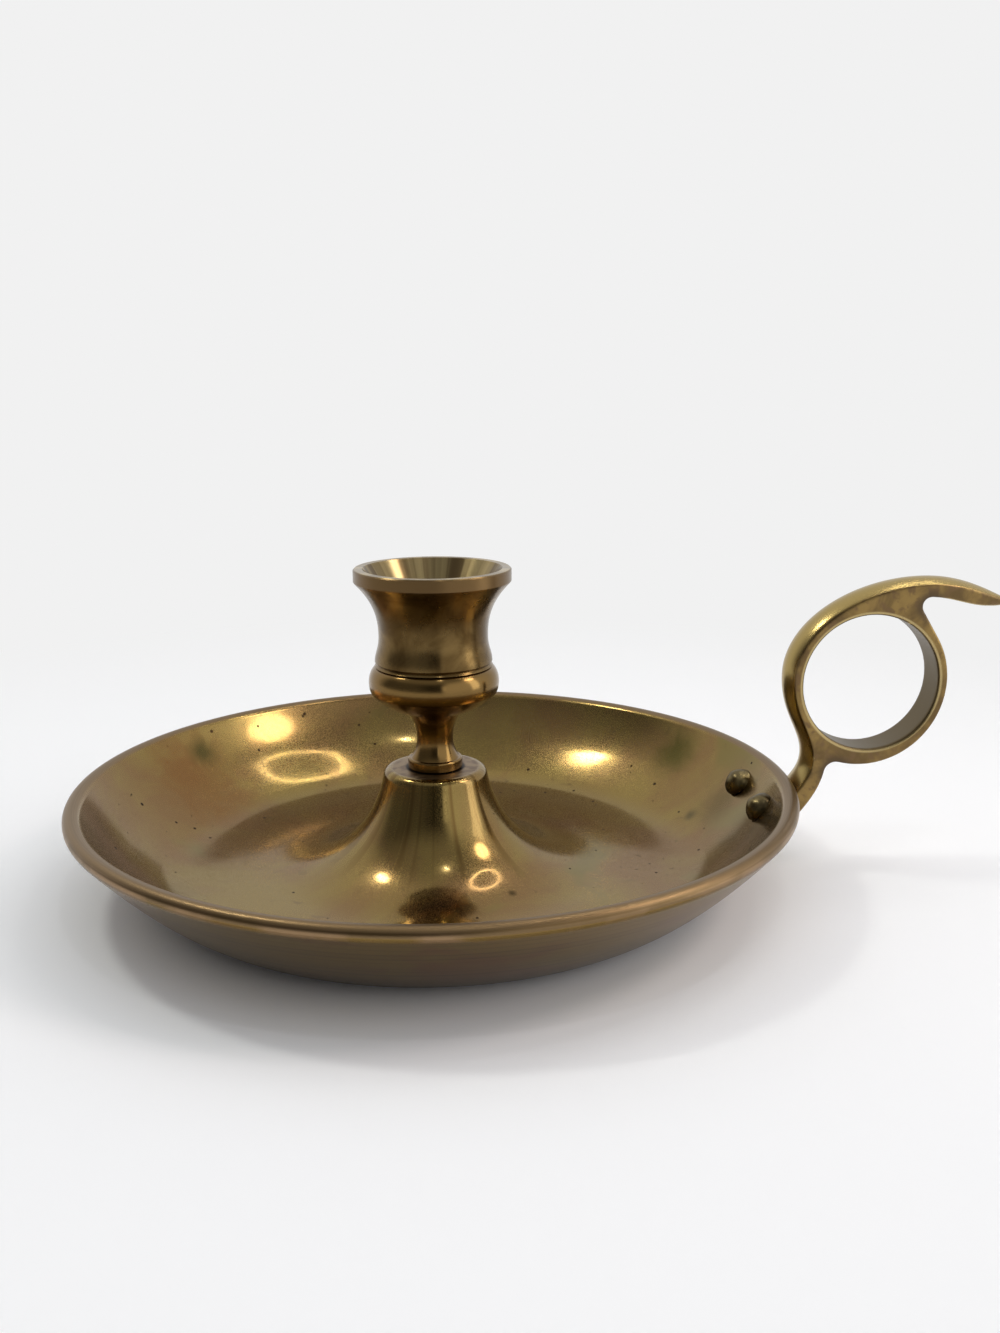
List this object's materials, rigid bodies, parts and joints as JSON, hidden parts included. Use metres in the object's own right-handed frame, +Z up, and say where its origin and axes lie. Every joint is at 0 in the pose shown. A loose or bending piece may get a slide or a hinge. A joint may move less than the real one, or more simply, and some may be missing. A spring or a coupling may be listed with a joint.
{
  "type": "chamberstick",
  "caption": "Low round candle holder: a wide drip pan with a hollow cone in its middle, a turned candle cup on a stem, and a riveted finger ring with a thumb rest.",
  "frame": {"origin": "on the candle's axis, at the height of the table that the pan stands on", "axes": "+Z up along the candle; +X from the candle towards the finger handle; +Y to the left of someone who looks along +X"},
  "size_m": [0.2104, 0.16, 0.0698],
  "materials": {
    "pan_brass": "turned and worn, with an olive-brown patina",
    "cup_brass": "turned, satin, with a dark brown patina",
    "handle_brass": "cast and filed smooth, worn bright on its back",
    "rivet_brass": "hammered, dark with tarnish",
    "fastener_brass": "turned, dull"
  },
  "bodies": {
    "root": {"drip_pan": "pan_brass", "pan_cone": "pan_brass", "candle_cup": "cup_brass", "stem_washer": "fastener_brass", "stem_nut": "fastener_brass", "finger_handle": "handle_brass", "rivet_near": "rivet_brass", "rivet_far": "rivet_brass"}
  },
  "joints": []
}
